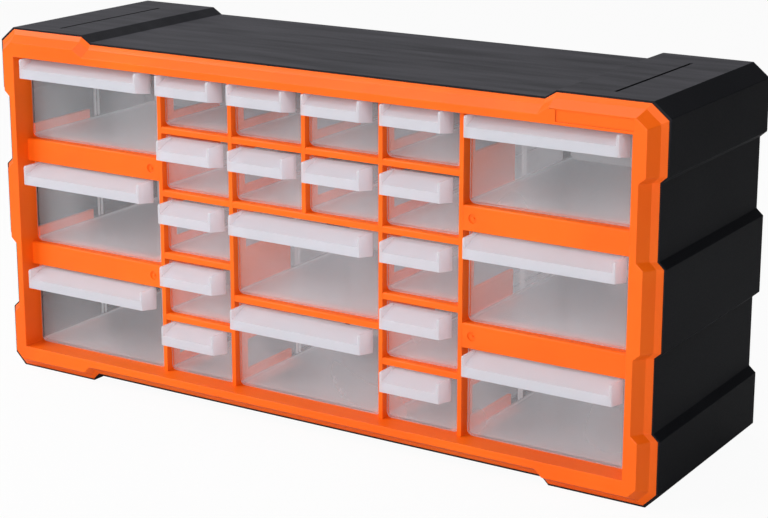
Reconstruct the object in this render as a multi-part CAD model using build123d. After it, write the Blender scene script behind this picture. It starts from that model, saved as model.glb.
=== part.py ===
"""Parts bin cabinet: a dust-proof casing, a deep front frame with guide rails, and 22 pull-out drawers.

Millimetres. +Z is up, the drawers pull out along -Y, and +X is to the right seen from the front.
The origin lies on the standing surface, under the middle of the whole cabinet.
"""

import os

from build123d import *

# Overall size
width = 500.0
height = 243.0
depth = 156.0
handle_proud = 2.0
front = -(depth + handle_proud) / 2 + handle_proud
back = front + depth

# Outline of the casing, seen from the front: end blocks, middle block, recesses and raised shoulders
end_block = 42.5
recess_depth = 4.5
recess_slope = 4.0
middle_block = 50.0
shoulder_x = 178.0
shoulder_step = 4.6
shoulder_slope = 7.4
foot_step = 4.5
foot_slope = 4.5
corner_x = 11.0
corner_z = 9.0
foot_corner = 8.2

# Casing shell
casing_wall = 2.5
casing_front = front + 10.0
groove_x = 208.5
groove_width = 1.6
groove_depth = 0.9
groove_start = front + 24.0
groove_length = 107.0
wall_hole_x = 200.0
wall_hole_z = 205.0
wall_hole_r = 2.5

# Front bezel
bevel_depth = 10.0
bevel_x = 10.0
bevel_z = 8.6
rim_start = 7.5
rim_x = 5.0
rim_z = 4.4
rim_reveal = 1.0
corner_shrink = 0.35
rim_shrink = 0.15
hollow_start = 4.0
hollow_front_inset = 0.5
hollow_rear_inset = 1.0
opening_x = 231.0
opening_bottom = 18.3
opening_top = 224.7
collar_wall = 2.4
collar_depth = 18.0
spigot_inset = 2.7
spigot_wall = 1.8
spigot_start = 9.2
spigot_end = 17.0
panel_left = 182.5
panel_right = 232.0
panel_bottom = 226.6
panel_top = 233.9
panel_depth = 0.8

# Grid of compartments
grid_front = front + 11.0
grid_depth = 14.0
rail_end = front + 76.0
column_pitch = 57.4
row_pitch = 42.8
middle_z = (opening_bottom + opening_top) / 2
divider = 3.0
shelf = 4.4
shelf_round = 1.4
fin = 2.4
fin_reach = 10.0
flange = 9.0
flange_thickness = 2.0
bar_height = 15.8
bar_wall = 2.5
bar_fin_reach = 9.0
outer_fin_x = 230.2
floor_fin = 8.0
centre_bar_z = 79.5
gate_x = 123.0
gate_r = 3.0
gate_depth = 1.0
gate_nub_r = 0.9

# Drawers
drawer_front = front + 14.0
drawer_length = 134.0
drawer_wall = 1.6
small_width = 53.2
small_height = 36.1
large_width = 110.8
large_height = 57.2
slide_gap = 0.3
side_round = 4.2
front_round = 2.0
handle_reach = drawer_front - (front - handle_proud)
handle_inset = 5.2
handle_wall = 1.7
brow_drop = 6.5
lip_bottom = 13.0
cheek_bottom = 16.0
cheek_round = 1.3
rib = 1.2
rib_gap = 2.2
rib_y = 66.0
rib_below_rim = 3.0

# Ledges on the casing's back wall, under the rear ends of the drawers
ledge_front = front + 141.0
ledge_thickness = 2.2
ledge_margin = 4.0

os.makedirs("parts", exist_ok=True)


def save(name, shape):
    """Write one named piece as a STEP file."""
    shape.label = name
    export_step(shape, f"parts/{name}.step")


def block(x0, x1, y0, y1, z0, z1):
    """Axis-aligned block between two corners."""
    return Pos((x0 + x1) / 2, (y0 + y1) / 2, (z0 + z1) / 2) * Box(abs(x1 - x0), abs(y1 - y0), abs(z1 - z0))


def front_sketch(points, y):
    """Closed outline of (x, z) points, standing at depth y."""
    plane = Plane(origin=(0, y, 0), x_dir=(1, 0, 0), z_dir=(0, -1, 0))
    return plane * make_face(Polyline(*points, close=True))


def outline(inset_x, inset_z, shrink=0.0):
    """Stepped outline of the cabinet, drawn in from the sides and from the top and bottom."""
    side = width / 2 - inset_x
    top = height - inset_z
    bottom = inset_z
    cut_x = corner_x * (1 - shrink)
    cut_z = corner_z * (1 - shrink)
    cut_foot = foot_corner * (1 - shrink)
    low = height / 2 - middle_block / 2
    high = height / 2 + middle_block / 2
    right = [
        (shoulder_x - foot_slope, bottom + foot_step),
        (shoulder_x, bottom),
        (side - cut_foot, bottom),
        (side, bottom + cut_foot),
        (side, end_block),
        (side - recess_depth, end_block + recess_slope),
        (side - recess_depth, low - recess_slope),
        (side, low),
        (side, high),
        (side - recess_depth, high + recess_slope),
        (side - recess_depth, height - end_block - recess_slope),
        (side, height - end_block),
        (side, top - cut_z),
        (side - cut_x, top),
        (shoulder_x, top),
        (shoulder_x - shoulder_slope, top - shoulder_step),
    ]
    return right + [(-x, z) for x, z in reversed(right)]


def prism(points, y0, y1):
    """Outline pushed back from y0 to y1."""
    return extrude(front_sketch(points, y0), amount=y1 - y0, dir=(0, 1, 0))


def taper(points0, y0, points1, y1):
    """Flat-sided transition from one outline to another with the same corners."""
    return loft([front_sketch(points0, y0), front_sketch(points1, y1)], ruled=True)


def make_casing():
    """One-piece shell, open at the front, with shallow grooves on the shoulders and two screw holes."""
    shell = prism(outline(0, 0), casing_front, back)
    shell -= prism(outline(casing_wall, casing_wall), casing_front - 1, back - casing_wall)
    for side in (-1, 1):
        x = side * groove_x
        shell -= block(
            x - groove_width / 2,
            x + groove_width / 2,
            groove_start,
            groove_start + groove_length,
            height - groove_depth,
            height + 1,
        )
        hole = Pos(side * wall_hole_x, back, wall_hole_z) * Rot(90, 0, 0) * Cylinder(wall_hole_r, 4 * casing_wall)
        shell -= hole
    return shell


def make_bezel():
    """Front bezel: flat face, steep flank and shallow rim, a collar round the opening and a spigot behind."""
    face = outline(bevel_x, bevel_z, corner_shrink)
    ledge = outline(rim_x, rim_z, rim_shrink)
    rim = outline(rim_reveal, rim_reveal)
    bezel = taper(face, front, ledge, front + rim_start)
    bezel += taper(ledge, front + rim_start, rim, front + bevel_depth)
    bezel -= taper(
        outline(bevel_x + hollow_front_inset, bevel_z + hollow_front_inset, corner_shrink),
        front + hollow_start,
        outline(rim_x + hollow_rear_inset, rim_z + hollow_rear_inset, rim_shrink),
        front + bevel_depth,
    )
    spigot = prism(outline(spigot_inset, spigot_inset), front + spigot_start, front + spigot_end)
    spigot -= prism(
        outline(spigot_inset + spigot_wall, spigot_inset + spigot_wall),
        front + spigot_start - 1,
        front + spigot_end + 1,
    )
    bezel += spigot
    bezel += block(
        -opening_x - collar_wall,
        opening_x + collar_wall,
        front + hollow_start / 2,
        front + collar_depth,
        opening_bottom - collar_wall,
        opening_top + collar_wall,
    )
    bezel -= block(-opening_x, opening_x, front - 1, front + collar_depth + 1, opening_bottom, opening_top)
    bezel -= block(panel_left, panel_right, front - 1, front + panel_depth, panel_bottom, panel_top)
    return bezel


def row_line(index):
    """Height of the middle of shelf line 1 to 4, counted from the top."""
    return middle_z + (2.5 - index) * row_pitch


def cross_rail(x, z_low, z_high):
    """Upright fin of a guide rail, behind the grid."""
    return block(x - fin / 2, x + fin / 2, grid_front + grid_depth - 1, rail_end, z_low, z_high)


def fin_spans(lines, bars, floor):
    """Heights covered by fins beside shelf lines, tall bars and the floor, joined where they meet."""
    spans = [(z - fin_reach, z + fin_reach) for z in lines]
    spans += [(z - bar_height / 2 - bar_fin_reach, z + bar_height / 2 + bar_fin_reach) for z in bars]
    if floor:
        spans.append((opening_bottom - flange_thickness, opening_bottom + floor_fin))
    joined = []
    for low, high in sorted(spans):
        if joined and low <= joined[-1][1] + 1.5:
            joined[-1] = (joined[-1][0], max(high, joined[-1][1]))
        else:
            joined.append((low, high))
    return joined


def make_upright(x, lines, bars):
    """Full-height divider wall with fins running back and floor flanges at its foot."""
    wall = block(x - divider / 2, x + divider / 2, grid_front, grid_front + grid_depth, opening_bottom, opening_top)
    for low, high in fin_spans(lines, bars, True):
        wall += cross_rail(x, low, high)
    wall += block(
        x - fin / 2 - flange,
        x + fin / 2 + flange,
        front + collar_depth,
        rail_end,
        opening_bottom - flange_thickness,
        opening_bottom,
    )
    return wall


def make_short_upright(lines):
    """Middle divider wall, which stands on the second shelf line."""
    base = row_line(2) + shelf / 2
    wall = block(-divider / 2, divider / 2, grid_front, grid_front + grid_depth, base, opening_top)
    wall += cross_rail(0, base, base + fin_reach - shelf / 2)
    for z in lines:
        wall += cross_rail(0, z - fin_reach, z + fin_reach)
    return wall


def make_shelf(x0, x1, z):
    """Shelf front between two uprights, with a flange along each upright that carries the drawer above."""
    bar = block(x0, x1, grid_front, grid_front + grid_depth, z - shelf / 2, z + shelf / 2)
    top_edge = bar.edges().filter_by(Axis.X).group_by(Axis.Y)[0].sort_by(Axis.Z)[-1]
    bar = fillet(top_edge, shelf_round)
    top = z + shelf / 2
    start = grid_front + grid_depth
    setback = (divider - fin) / 2
    for edge, inward in ((x0 - setback, 1), (x1 + setback, -1)):
        bar += block(edge, edge + inward * flange, start, rail_end, top - flange_thickness, top)
    return bar


def make_bar(side, z):
    """Tall hollow bar between two large drawers, with its end flanges, outer fin and gate recess."""
    x0 = column_pitch * 2 + divider / 2
    low = z - bar_height / 2
    top = z + bar_height / 2
    bar = block(x0, opening_x, grid_front, grid_front + grid_depth, low, top)
    top_edge = bar.edges().filter_by(Axis.X).group_by(Axis.Y)[0].sort_by(Axis.Z)[-1]
    bar = fillet(top_edge, shelf_round)
    bar -= block(
        x0 - 1,
        opening_x - bar_wall,
        grid_front + bar_wall,
        grid_front + grid_depth + 1,
        low + bar_wall,
        top - bar_wall,
    )
    start = grid_front + grid_depth
    setback = (divider - fin) / 2
    bar += block(x0 - setback, x0 - setback + flange, start, rail_end, top - flange_thickness, top)
    bar += block(outer_fin_x - flange, outer_fin_x + fin, start, rail_end, top - flange_thickness, top)
    bar += block(
        outer_fin_x,
        outer_fin_x + fin,
        front + collar_depth,
        rail_end,
        low - bar_fin_reach,
        top + bar_fin_reach,
    )
    gate = Pos(gate_x, grid_front, z) * Rot(90, 0, 0) * Cylinder(gate_r, 2 * gate_depth)
    gate -= Pos(gate_x, grid_front, z) * Rot(90, 0, 0) * Cylinder(gate_nub_r, 2 * gate_depth)
    bar -= gate
    if side < 0:
        bar = mirror(bar, about=Plane.YZ)
    return bar


def make_floor_rail(side):
    """Angle rail under the outer edge of a bottom large drawer."""
    rail = block(
        outer_fin_x - flange,
        outer_fin_x + fin,
        front + collar_depth,
        rail_end,
        opening_bottom - flange_thickness,
        opening_bottom,
    )
    rail += block(
        outer_fin_x,
        outer_fin_x + fin,
        front + collar_depth,
        rail_end,
        opening_bottom - floor_fin,
        opening_bottom,
    )
    if side < 0:
        rail = mirror(rail, about=Plane.YZ)
    return rail


def side_prism(points, x0, x1):
    """Profile of (y, z) points, pushed across from x0 to x1."""
    plane = Plane(origin=(x0, 0, 0), x_dir=(0, 1, 0), z_dir=(1, 0, 0))
    return extrude(plane * make_face(Polyline(*points, close=True)), amount=x1 - x0, dir=(1, 0, 0))


def make_handle(w, h):
    """Hooded pull: a brow sloping down from the rim, an upright lip and a full-height cheek at each end."""
    half = w / 2 - handle_inset
    root = drawer_wall / 2
    reach = handle_reach
    slope = brow_drop / reach
    thick = handle_wall
    brow = [
        (root, h),
        (0, h),
        (-reach, h - brow_drop),
        (-reach, h - lip_bottom),
        (-reach + thick, h - lip_bottom),
        (-reach + thick, h - brow_drop - thick + thick * slope),
        (root, h - thick),
    ]
    cheek = [
        (root, h),
        (-reach, h),
        (-reach, h - lip_bottom),
        (root, h - cheek_bottom),
    ]
    hood = side_prism(brow, -half, half)
    for x0 in (-half, half - thick):
        plate = side_prism(cheek, x0, x0 + thick)
        corner = plate.edges().filter_by(Axis.X).group_by(Axis.Y)[0].sort_by(Axis.Z)[-1]
        hood += fillet(corner, cheek_round)
    return hood


def make_drawer(w, h, ribbed):
    """One-piece tray with rounded lower edges and a hooded pull; the large size has slot ribs on its sides."""
    tray = block(-w / 2, w / 2, 0, drawer_length, 0, h)
    tray = fillet(tray.edges().filter_by(Axis.Y).group_by(Axis.Z)[0], side_round)
    tray = fillet(tray.faces().sort_by(Axis.Y)[0].edges().group_by(Axis.Z)[0], front_round)
    t = drawer_wall
    hollow = block(-w / 2 + t, w / 2 - t, t, drawer_length - t, t, h + 20)
    hollow = fillet(hollow.edges().filter_by(Axis.Y).group_by(Axis.Z)[0], side_round - t)
    tray += make_handle(w, h)
    tray -= hollow
    if ribbed:
        for side in (-1, 1):
            for shift in (-1, 1):
                y = rib_y + shift * (rib_gap + rib) / 2
                x = side * (w / 2 - t)
                tray += block(
                    x + side * t / 2,
                    x - side * rib,
                    y - rib / 2,
                    y + rib / 2,
                    side_round,
                    h - rib_below_rim,
                )
    return tray


def make_ledges(spans):
    """Ledges on the back wall, one for each (x0, x1, floor height)."""
    return Compound(children=[
        block(x0, x1, ledge_front, back - casing_wall, floor - ledge_thickness, floor)
        for x0, x1, floor in spans
    ])


def place(shape, x, z):
    """Put a drawer into its compartment, in the closed position."""
    return Pos(x, drawer_front, z + slide_gap) * shape


shelf_lines = [row_line(index) for index in (1, 2, 3, 4)]
bar_offset = (opening_top - opening_bottom + bar_height) / 6
side_bars = [middle_z + bar_offset, middle_z - bar_offset]
half_divider = divider / 2
column_x = [-2 * column_pitch, -column_pitch, 0.0, column_pitch, 2 * column_pitch]

save("casing", make_casing())
save("front_bezel", make_bezel())
save("outer_left_upright", make_upright(column_x[0], shelf_lines, side_bars))
save("inner_left_upright", make_upright(column_x[1], shelf_lines, [centre_bar_z]))
save("middle_upright", make_short_upright(shelf_lines[:1]))
save("inner_right_upright", make_upright(column_x[3], shelf_lines, [centre_bar_z]))
save("outer_right_upright", make_upright(column_x[4], shelf_lines, side_bars))
for name, side in (("left", -1), ("right", 1)):
    save(f"{name}_upper_bar", make_bar(side, side_bars[0]))
    save(f"{name}_lower_bar", make_bar(side, side_bars[1]))
    save(f"{name}_floor_rail", make_floor_rail(side))

# Small compartments: column and row, with the shelf under each but the lowest
small_cells = [(column, row) for row in (1, 2) for column in (1, 2, 3, 4)]
small_cells += [(column, row) for row in (3, 4, 5) for column in (1, 4)]
for column in (1, 2, 3, 4):
    x0 = column_x[column - 1] + half_divider
    x1 = column_x[column] - half_divider
    save(f"shelf_row1_column{column}", make_shelf(x0, x1, shelf_lines[0]))
for column in (1, 4):
    x0 = column_x[column - 1] + half_divider
    x1 = column_x[column] - half_divider
    for row in (2, 3, 4):
        save(f"shelf_row{row}_column{column}", make_shelf(x0, x1, shelf_lines[row - 1]))
middle_left = column_x[1] + half_divider
middle_right = column_x[3] - half_divider
wide_shelf = make_shelf(middle_left, middle_right, shelf_lines[1])
wide_shelf += block(
    -fin / 2 - flange,
    fin / 2 + flange,
    grid_front + grid_depth - 1,
    rail_end,
    shelf_lines[1] + shelf / 2 - flange_thickness,
    shelf_lines[1] + shelf / 2,
)
save("wide_shelf_row2", wide_shelf)
save("wide_shelf_centre", make_shelf(middle_left, middle_right, centre_bar_z))

small_drawer = make_drawer(small_width, small_height, False)
for column, row in small_cells:
    x = (column_x[column - 1] + column_x[column]) / 2
    floor = opening_bottom if row == 5 else shelf_lines[row - 1] + shelf / 2
    save(f"small_drawer_row{row}_column{column}", place(small_drawer, x, floor))

large_drawer = make_drawer(large_width, large_height, True)
side_x = (column_x[4] + half_divider + opening_x) / 2
side_floors = {
    "top": side_bars[0] + bar_height / 2,
    "middle": side_bars[1] + bar_height / 2,
    "bottom": opening_bottom,
}
for level, floor in side_floors.items():
    save(f"large_drawer_left_{level}", place(large_drawer, -side_x, floor))
    save(f"large_drawer_right_{level}", place(large_drawer, side_x, floor))
save("large_drawer_centre_upper", place(large_drawer, 0.0, centre_bar_z + shelf / 2))
save("large_drawer_centre_lower", place(large_drawer, 0.0, opening_bottom))

# Rear ledges, in three columns like the drawers they carry
inner = column_x[4] + half_divider + ledge_margin
outer = opening_x - ledge_margin
save("left_rear_ledges", make_ledges([(-outer, -inner, floor) for floor in side_floors.values()]))
save("right_rear_ledges", make_ledges([(inner, outer, floor) for floor in side_floors.values()]))
wing_inner = column_x[3] + half_divider + ledge_margin
wing_outer = column_x[4] - half_divider - ledge_margin
middle_spans = [(-wing_outer, wing_outer, z + shelf / 2) for z in shelf_lines[:2]]
for z in shelf_lines[2:]:
    middle_spans.append((-wing_outer, -wing_inner, z + shelf / 2))
    middle_spans.append((wing_inner, wing_outer, z + shelf / 2))
middle_spans.append((-wing_inner + 2 * ledge_margin, wing_inner - 2 * ledge_margin, centre_bar_z + shelf / 2))
middle_spans.append((-wing_outer, wing_outer, opening_bottom))
save("middle_rear_ledges", make_ledges(middle_spans))
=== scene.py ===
"""Parts bin cabinet: black casing, orange front frame with its guide rails, and frosted pull-out drawers.

Metres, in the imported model's own frame: +Z up, the drawers pull out along -Y, +X to the right from the front.
"""

import math

import bpy
import numpy as np
from mathutils import Euler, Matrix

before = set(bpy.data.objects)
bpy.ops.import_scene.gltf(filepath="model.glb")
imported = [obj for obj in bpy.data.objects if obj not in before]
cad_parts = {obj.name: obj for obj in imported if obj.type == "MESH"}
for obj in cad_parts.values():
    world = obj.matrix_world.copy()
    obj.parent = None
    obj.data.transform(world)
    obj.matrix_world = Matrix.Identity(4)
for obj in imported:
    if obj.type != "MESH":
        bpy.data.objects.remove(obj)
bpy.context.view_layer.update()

# ---------------------------------------------------------------------------------------------------
# Casing. One injection moulding in black high-impact polystyrene, five-sided and open at the front.
# Its mould is spark-eroded, which leaves a fine even grain that keeps the big walls from shining.
# What faces up has gathered a little dust, which has been wiped into streaks from side to side. The same grey
# also covers every upward face at some share, as painted top light from the lamps above.
MM = 0.001
CASING_BLACK = "#15161B"
CASING_WORN = "#202126"
# This dust grey doubles as painted top light: it lightens every upward face.
CASING_DUST_AND_TOP_LIGHT = "#4E4D53"
CASING_IOR = 1.59
CASING_GLOSS = 0.12
CASING_ROUGH = (0.5, 0.7)
CASING_EDGE_MM = 0.8
# The real grain is about 0.2 mm. It is drawn coarser, so that it shows.
CASING_GRAIN_MM = 0.9
WORN_PATCH_MM = 71.4
MOST_WORN = 0.55
STREAK_MM = (70.0, 9.0, 9.0)
# Least and most share of that grey on upward faces. Even the least lightens every top as painted top light.
DUST_AND_TOP_LIGHT_SHARE = (0.42, 0.86)
# Sockets of a colour Mix node: its share, its two colours and its result
SHARE, FIRST, SECOND, MIXED = 0, 6, 7, 2


def linear(hex_colour):
    """sRGB hex to linear RGBA: c / 12.92 below 0.04045, otherwise ((c + 0.055) / 1.055) to the power 2.4."""
    srgb = np.array([int(hex_colour[i:i + 2], 16) / 255 for i in (1, 3, 5)])
    rgb = np.where(srgb <= 0.04045, srgb / 12.92, ((srgb + 0.055) / 1.055) ** 2.4)
    return (*rgb.tolist(), 1.0)


def add_node(tree, kind, settings=None, links=None):
    """Add a shader node, set its properties and sockets, and link its inputs to other nodes' outputs."""
    made = tree.nodes.new(kind)
    for key, value in (settings or {}).items():
        if isinstance(key, str) and hasattr(made, key):
            setattr(made, key, value)
        else:
            made.inputs[key].default_value = value
    for key, source in (links or {}).items():
        tree.links.new(source, made.inputs[key])
    return made


def add_range(tree, source, low, high, to_low, to_high):
    """Carry a value from the range low to high over to another range, held at its ends."""
    limits = {"From Min": low, "From Max": high, "To Min": to_low, "To Max": to_high}
    plain = {key: value for key, value in limits.items() if isinstance(value, (int, float))}
    linked = {key: value for key, value in limits.items() if key not in plain}
    return add_node(tree, "ShaderNodeMapRange", plain, {"Value": source, **linked}).outputs["Result"]


def new_material(name):
    """Empty node material with its output node."""
    material = bpy.data.materials.new(name)
    material.use_nodes = True
    material.node_tree.nodes.clear()
    output = material.node_tree.nodes.new("ShaderNodeOutputMaterial")
    return material, material.node_tree, output


def noise(tree, place, size_mm, detail, distortion=0.0):
    """Soft noise with features of about one size."""
    settings = {"Scale": 1 / (size_mm * MM), "Detail": detail, "Distortion": distortion}
    return add_node(tree, "ShaderNodeTexNoise", settings, {"Vector": place}).outputs["Fac"]


def dents(tree, height, strength, depth_mm):
    """Bump from a height pattern."""
    return add_node(tree, "ShaderNodeBump", {"Strength": strength, "Distance": depth_mm * MM},
                    {"Height": height}).outputs["Normal"]


def soften(piece, edge_mm, merge_flat=True):
    """Join the loose triangles, merge the flat ones, and round every edge sharper than 30 degrees."""
    weld = piece.modifiers.new("join_triangles", "WELD")
    weld.merge_threshold = 0.005 * MM
    if merge_flat:
        flat = piece.modifiers.new("flat_faces", "DECIMATE")
        flat.decimate_type = "DISSOLVE"
        flat.angle_limit = math.radians(0.3)
    edge = piece.modifiers.new("mould_radius", "BEVEL")
    edge.width = edge_mm * MM
    edge.segments = 2
    edge.limit_method = "ANGLE"
    edge.angle_limit = math.radians(30)
    edge.use_clamp_overlap = True
    edge.harden_normals = True


def dress(piece, material, edge_mm, merge_flat=True):
    """Give a solid its finish and its moulded edge radius."""
    for slot in piece.material_slots:
        slot.material = material
    if not piece.material_slots:
        piece.data.materials.append(material)
    soften(piece, edge_mm, merge_flat)


def casing_material():
    """Black polystyrene: dull from its spark-eroded grain, a little greyer in patches where it has been
    handled, with streaks of wiped dust on what faces up, laid over a lighter grey painted on every
    upward face as top light."""
    material, tree, output = new_material("spark_eroded_black_polystyrene")
    place = add_node(tree, "ShaderNodeTexCoord").outputs["Object"]
    grain = noise(tree, place, CASING_GRAIN_MM, 3.0)
    patches = noise(tree, place, WORN_PATCH_MM, 4.0)
    tone = add_node(tree, "ShaderNodeMix", {"data_type": "RGBA"},
                    {SHARE: add_range(tree, patches, 0.35, 0.75, 0.0, MOST_WORN)})
    tone.inputs[FIRST].default_value = linear(CASING_BLACK)
    tone.inputs[SECOND].default_value = linear(CASING_WORN)
    along = add_node(tree, "ShaderNodeMapping", {"Scale": tuple(1 / (mm * MM) for mm in STREAK_MM)},
                     {"Vector": place})
    streaks = add_node(tree, "ShaderNodeTexNoise", {"Scale": 1.0, "Detail": 4.0},
                       {"Vector": along.outputs["Vector"]})
    facing = add_node(tree, "ShaderNodeSeparateXYZ", {},
                      {"Vector": add_node(tree, "ShaderNodeTexCoord").outputs["Normal"]})
    # Painted top light and dust: upward faces get the lighter grey, at least 0.42 of it and more along the
    # streaks.
    dust_and_top_light_share = add_node(tree, "ShaderNodeMath", {"operation": "MULTIPLY"},
                          {0: add_range(tree, facing.outputs["Z"], 0.8, 0.98, 0.0, 1.0),
                           1: add_range(tree, streaks.outputs["Fac"], 0.3, 0.7, *DUST_AND_TOP_LIGHT_SHARE)})
    dusty_and_top_lit = add_node(tree, "ShaderNodeMix", {"data_type": "RGBA"},
                     {SHARE: dust_and_top_light_share.outputs["Value"], FIRST: tone.outputs[MIXED]})
    dusty_and_top_lit.inputs[SECOND].default_value = linear(CASING_DUST_AND_TOP_LIGHT)
    surface = add_node(tree, "ShaderNodeBsdfPrincipled",
                       {"IOR": CASING_IOR, "Specular IOR Level": CASING_GLOSS},
                       {"Base Color": dusty_and_top_lit.outputs[MIXED],
                        "Roughness": add_range(tree, grain, 0.0, 1.0, *CASING_ROUGH),
                        "Normal": dents(tree, grain, 0.25, 0.06)})
    tree.links.new(surface.outputs["BSDF"], output.inputs["Surface"])
    return material


black_polystyrene = casing_material()
dress(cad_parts["casing"], black_polystyrene, CASING_EDGE_MM)

# ---------------------------------------------------------------------------------------------------
# Rear ledges. Plain shelves moulded on the inside of the casing's back wall, in the casing's own
# plastic. Each one holds up the rear end of a drawer once it is pushed home.
LEDGE_EDGE_MM = 0.3

for name in ("left_rear_ledges", "middle_rear_ledges", "right_rear_ledges"):
    dress(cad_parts[name], black_polystyrene, LEDGE_EDGE_MM)

# ---------------------------------------------------------------------------------------------------
# Front bezel. Injection-moulded orange polypropylene, satin from a finely blasted mould, with a deep
# bevel to the casing. It is pushed into the casing's mouth and carries the whole grid of compartments.
BEZEL_ORANGE = "#FF7010"
BEZEL_DEEP = "#FF640A"
POLYPROPYLENE_IOR = 1.49
BEZEL_GLOSS = 0.3
BEZEL_ROUGH = (0.38, 0.52)
BEZEL_EDGE_MM = 0.9
# The real blasted grain is about 0.1 mm. It is drawn coarser, so that it shows.
BEZEL_GRAIN_MM = 0.6
FLOW_MARK_MM = 111.0


def frame_material():
    """Orange polypropylene: even satin, with slow flow marks from the gate and a fine blasted grain."""
    material, tree, output = new_material("blasted_orange_polypropylene")
    place = add_node(tree, "ShaderNodeTexCoord").outputs["Object"]
    grain = noise(tree, place, BEZEL_GRAIN_MM, 2.0)
    flow = noise(tree, place, FLOW_MARK_MM, 3.0, distortion=0.6)
    tone = add_node(tree, "ShaderNodeMix", {"data_type": "RGBA"},
                    {SHARE: add_range(tree, flow, 0.3, 0.7, 0.0, 1.0)})
    tone.inputs[FIRST].default_value = linear(BEZEL_ORANGE)
    tone.inputs[SECOND].default_value = linear(BEZEL_DEEP)
    surface = add_node(tree, "ShaderNodeBsdfPrincipled",
                       {"IOR": POLYPROPYLENE_IOR, "Specular IOR Level": BEZEL_GLOSS},
                       {"Base Color": tone.outputs[MIXED],
                        "Roughness": add_range(tree, grain, 0.0, 1.0, *BEZEL_ROUGH),
                        "Normal": dents(tree, grain, 0.15, 0.04)})
    tree.links.new(surface.outputs["BSDF"], output.inputs["Surface"])
    return material


orange_polypropylene = frame_material()
dress(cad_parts["front_bezel"], orange_polypropylene, BEZEL_EDGE_MM, merge_flat=False)

# ---------------------------------------------------------------------------------------------------
# Grid of compartments. Uprights, tall bars, shelves and their guide rails come out of the same mould as
# the bezel, in the same orange. The rails reach half-way back and guide each drawer's lower corners.
GRID_EDGE_MM = 0.35
GRID_ENDINGS = ("upright", "bar", "floor_rail")
SHELF_STARTS = ("shelf", "wide_shelf")

for name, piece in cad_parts.items():
    if name.endswith(GRID_ENDINGS) or name.startswith(SHELF_STARTS):
        dress(piece, orange_polypropylene, GRID_EDGE_MM)

# ---------------------------------------------------------------------------------------------------
# Drawers. Each is one thin-walled moulding in natural polypropylene, milky and half see-through, with
# a hooded pull. The pull and the rounded edges are thicker along the line of sight, so they look whiter
# than the walls. A cover is the share of what lies behind that one skin of the plastic hides.
TRAY_MILK = "#E6E8EC"
PULL_MILK = "#E4E7ED"
FRONT_COVER = (0.06, 0.13)
SIDE_COVER = 0.015
FLOOR_COVER = 0.52
REAR_COVER = 0.85
PULL_COVER = 0.6
EDGE_COVER = 0.7
SCATTER_SHARE = 0.6
LIGHT_LET_THROUGH = 0.8
SKINS_SEEN_THROUGH = 32
DRAWER_ROUGH = (0.14, 0.26)
DRAWER_EDGE_MM = 0.35
WAVINESS_MM = 2.5
CLOUD_MM = 45.0
TRAY_FRONT_Y = -63.0 * MM
# A wall counts as facing an axis from the first to the second of these cosines, and as rounded between
# the next two, where its normal leans away from every axis.
FACING = (0.4, 0.8)
ROUNDED = (0.8, 0.97)


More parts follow.
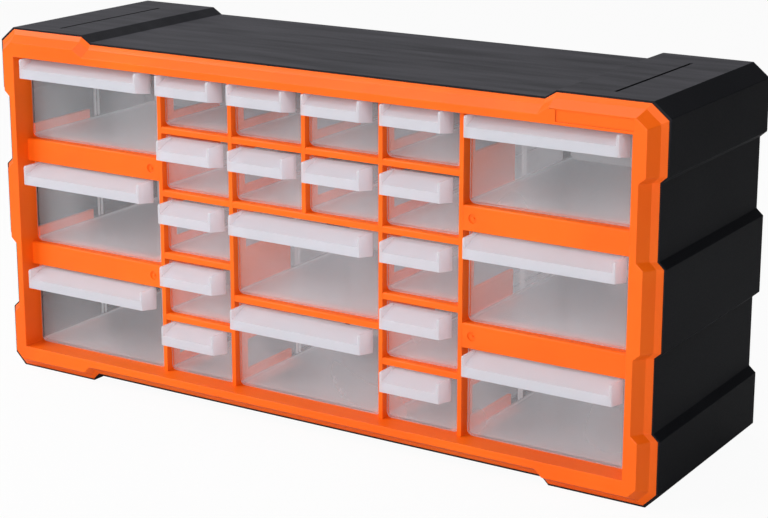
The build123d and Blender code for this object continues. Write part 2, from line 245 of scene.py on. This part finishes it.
def drawer_material():
    """Natural polypropylene: glossy milky skins. The front wall is nearly clear and a little cloudy, the side
    walls are clearest, and floor, rear wall, rounded edges and pull are milkier."""
    material, tree, output = new_material("natural_moulded_polypropylene")
    place = add_node(tree, "ShaderNodeTexCoord").outputs["Object"]
    front_to_back = add_node(tree, "ShaderNodeSeparateXYZ", {}, {"Vector": place}).outputs["Y"]
    in_pull = add_range(tree, front_to_back, TRAY_FRONT_Y - 0.1 * MM, TRAY_FRONT_Y - 0.6 * MM, 0.0, 1.0)
    milk = add_node(tree, "ShaderNodeMix", {"data_type": "RGBA"}, {SHARE: in_pull})
    milk.inputs[FIRST].default_value = linear(TRAY_MILK)
    milk.inputs[SECOND].default_value = linear(PULL_MILK)
    lean = add_node(tree, "ShaderNodeVectorMath", {"operation": "ABSOLUTE"},
                    {0: add_node(tree, "ShaderNodeTexCoord").outputs["Normal"]})
    facing = add_node(tree, "ShaderNodeSeparateXYZ", {}, {"Vector": lean.outputs["Vector"]})
    floor_or_rear = add_range(tree, facing.outputs["Z"], *FACING, REAR_COVER, FLOOR_COVER)
    wall = add_range(tree, facing.outputs["X"], *FACING, floor_or_rear, SIDE_COVER)
    x_or_y = add_node(tree, "ShaderNodeMath", {"operation": "MAXIMUM"},
                      {0: facing.outputs["X"], 1: facing.outputs["Y"]})
    flatness = add_node(tree, "ShaderNodeMath", {"operation": "MAXIMUM"},
                        {0: x_or_y.outputs["Value"], 1: facing.outputs["Z"]})
    rounded = add_range(tree, flatness.outputs["Value"], *ROUNDED, EDGE_COVER, 0.0)
    front_cover = add_range(tree, noise(tree, place, CLOUD_MM, 0.0), 0.35, 0.7, *FRONT_COVER)
    tray = add_range(tree, front_to_back, TRAY_FRONT_Y + 1.5 * MM, TRAY_FRONT_Y + 2.5 * MM, front_cover, wall)
    cover = add_node(tree, "ShaderNodeMath", {"operation": "MAXIMUM"},
                     {0: add_range(tree, in_pull, 0.0, 1.0, tray, PULL_COVER), 1: rounded}).outputs["Value"]
    waviness = noise(tree, place, WAVINESS_MM, 2.0)
    surface = add_node(tree, "ShaderNodeBsdfPrincipled", {"IOR": POLYPROPYLENE_IOR},
                       {"Base Color": milk.outputs[MIXED], "Alpha": cover,
                        "Roughness": add_range(tree, waviness, 0.0, 1.0, *DRAWER_ROUGH),
                        "Normal": dents(tree, waviness, 0.08, 0.05)})
    glow = add_node(tree, "ShaderNodeBsdfTranslucent", {}, {"Color": milk.outputs[MIXED]})
    glow_share = add_node(tree, "ShaderNodeMath", {"operation": "MULTIPLY", 1: SCATTER_SHARE}, {0: cover})
    skin = add_node(tree, "ShaderNodeMixShader", {},
                    {0: glow_share.outputs["Value"], 1: surface.outputs["BSDF"], 2: glow.outputs["BSDF"]})
    path = add_node(tree, "ShaderNodeLightPath")
    let_through = add_node(tree, "ShaderNodeMath", {"operation": "MULTIPLY", 1: LIGHT_LET_THROUGH},
                           {0: path.outputs["Is Shadow Ray"]})
    clear = add_node(tree, "ShaderNodeBsdfTransparent")
    lit = add_node(tree, "ShaderNodeMixShader", {},
                   {0: let_through.outputs["Value"], 1: skin.outputs["Shader"], 2: clear.outputs["BSDF"]})
    tree.links.new(lit.outputs["Shader"], output.inputs["Surface"])
    return material


milky_polypropylene = drawer_material()
bpy.context.scene.cycles.transparent_max_bounces = SKINS_SEEN_THROUGH
for name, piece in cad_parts.items():
    if "drawer" in name:
        dress(piece, milky_polypropylene, DRAWER_EDGE_MM)

# ---------------------------------------------------------------------------------------------------
# Studio. A pale seamless floor under soft panels, with a background that shows plain white, and the
# camera to the right of the cabinet and a little above it.
FLOOR_GREY = "#D8D8D8"
FLOOR_OWN_WHITE = 0.95
FLOOR_HALF = 6.0
FLOOR_CELLS = 12
PAPER_FIBRE_MM = 1.11
WHITE = (1.0, 1.0, 1.0, 1.0)
SURROUND_LEFT = 0.48
SURROUND_RIGHT = 0.0
CAMERA_PLACE = (0.6904, -1.0634, 0.4613)
CAMERA_YAW = 32.29
CAMERA_PITCH = 14.25
CAMERA_LENS = 92.78
CAMERA_SHIFT_Y = -0.0768


def studio_floor():
    """Square sheet z = 0 at (u, v) times its half width, in matt paper that the camera sees nearly white
    and that still takes the object's shadow."""
    side = np.linspace(-FLOOR_HALF, FLOOR_HALF, FLOOR_CELLS + 1)
    u, v = np.meshgrid(side, side)
    points = np.stack([u.ravel(), v.ravel(), np.zeros(u.size)], axis=1)
    row = FLOOR_CELLS + 1
    corner = (np.arange(FLOOR_CELLS)[:, None] * row + np.arange(FLOOR_CELLS)[None, :]).ravel()
    quads = np.stack([corner, corner + 1, corner + row + 1, corner + row], axis=1)
    mesh = bpy.data.meshes.new("studio_floor")
    mesh.from_pydata(points.tolist(), [], quads.tolist())
    floor = bpy.data.objects.new("studio_floor", mesh)
    bpy.context.scene.collection.objects.link(floor)
    material, tree, output = new_material("matt_white_paper")
    place = add_node(tree, "ShaderNodeTexCoord").outputs["Object"]
    fibre = noise(tree, place, PAPER_FIBRE_MM, 2.0)
    surface = add_node(tree, "ShaderNodeBsdfPrincipled", {"Base Color": linear(FLOOR_GREY), "Roughness": 0.9},
                       {"Normal": dents(tree, fibre, 0.05, 0.02)})
    path = add_node(tree, "ShaderNodeLightPath")
    seen = add_node(tree, "ShaderNodeMath", {"operation": "MULTIPLY", 1: FLOOR_OWN_WHITE},
                    {0: path.outputs["Is Camera Ray"]})
    white = add_node(tree, "ShaderNodeEmission", {"Color": WHITE, "Strength": 1.0})
    both = add_node(tree, "ShaderNodeMixShader", {},
                    {0: seen.outputs["Value"], 1: surface.outputs["BSDF"], 2: white.outputs["Emission"]})
    tree.links.new(both.outputs["Shader"], output.inputs["Surface"])
    mesh.materials.append(material)


def studio_world():
    """Surround that fades from soft grey on the left to black on the right, and is plain white where the
    camera sees it, also through a clear wall."""
    world = bpy.data.worlds.new("studio_world")
    bpy.context.scene.world = world
    world.use_nodes = True
    tree = world.node_tree
    tree.nodes.clear()
    path = add_node(tree, "ShaderNodeLightPath")
    seen = add_node(tree, "ShaderNodeMath", {"operation": "MAXIMUM"},
                    {0: path.outputs["Is Camera Ray"], 1: path.outputs["Is Transmission Ray"]})
    way = add_node(tree, "ShaderNodeSeparateXYZ", {},
                   {"Vector": add_node(tree, "ShaderNodeTexCoord").outputs["Generated"]})
    surround = add_range(tree, way.outputs["X"], -1.0, 0.4, SURROUND_LEFT, SURROUND_RIGHT)
    strength = add_range(tree, seen.outputs["Value"], 0.0, 1.0, surround, 1.0)
    sky = add_node(tree, "ShaderNodeBackground", {"Color": WHITE}, {"Strength": strength})
    output = add_node(tree, "ShaderNodeOutputWorld")
    tree.links.new(sky.outputs["Background"], output.inputs["Surface"])


def soft_panel(name, place, aim, width, height, watts):
    """Rectangular studio panel at a place, turned to face its aim."""
    lamp = bpy.data.lights.new(name, "AREA")
    lamp.shape = "RECTANGLE"
    lamp.size = width
    lamp.size_y = height
    lamp.energy = watts
    panel = bpy.data.objects.new(name, lamp)
    panel.location = place
    direction = np.array(aim) - np.array(place)
    yaw = math.atan2(-direction[0], direction[1])
    tilt = math.atan2(math.hypot(direction[0], direction[1]), -direction[2])
    panel.rotation_euler = Euler((tilt, 0.0, yaw))
    bpy.context.scene.collection.objects.link(panel)


studio_floor()
studio_world()
soft_panel("key_panel", (-1.0, -0.9, 1.1), (-0.05, 0.0, 0.15), 0.9, 0.8, 15.0)
soft_panel("top_panel", (-0.3, 0.3, 1.8), (0.0, 0.0, 0.2), 1.4, 1.0, 10.0)
soft_panel("front_panel", (0.7, -2.0, 0.75), (0.0, 0.0, 0.12), 1.2, 0.9, 26.0)

camera = bpy.data.objects.new("camera", bpy.data.cameras.new("camera"))
camera.location = CAMERA_PLACE
camera.rotation_euler = Euler((math.radians(90 - CAMERA_PITCH), 0.0, math.radians(CAMERA_YAW)))
camera.data.sensor_width = 36.0
camera.data.lens = CAMERA_LENS
camera.data.shift_y = CAMERA_SHIFT_Y
bpy.context.scene.collection.objects.link(camera)
bpy.context.scene.camera = camera
bpy.context.scene.view_settings.view_transform = "Standard"
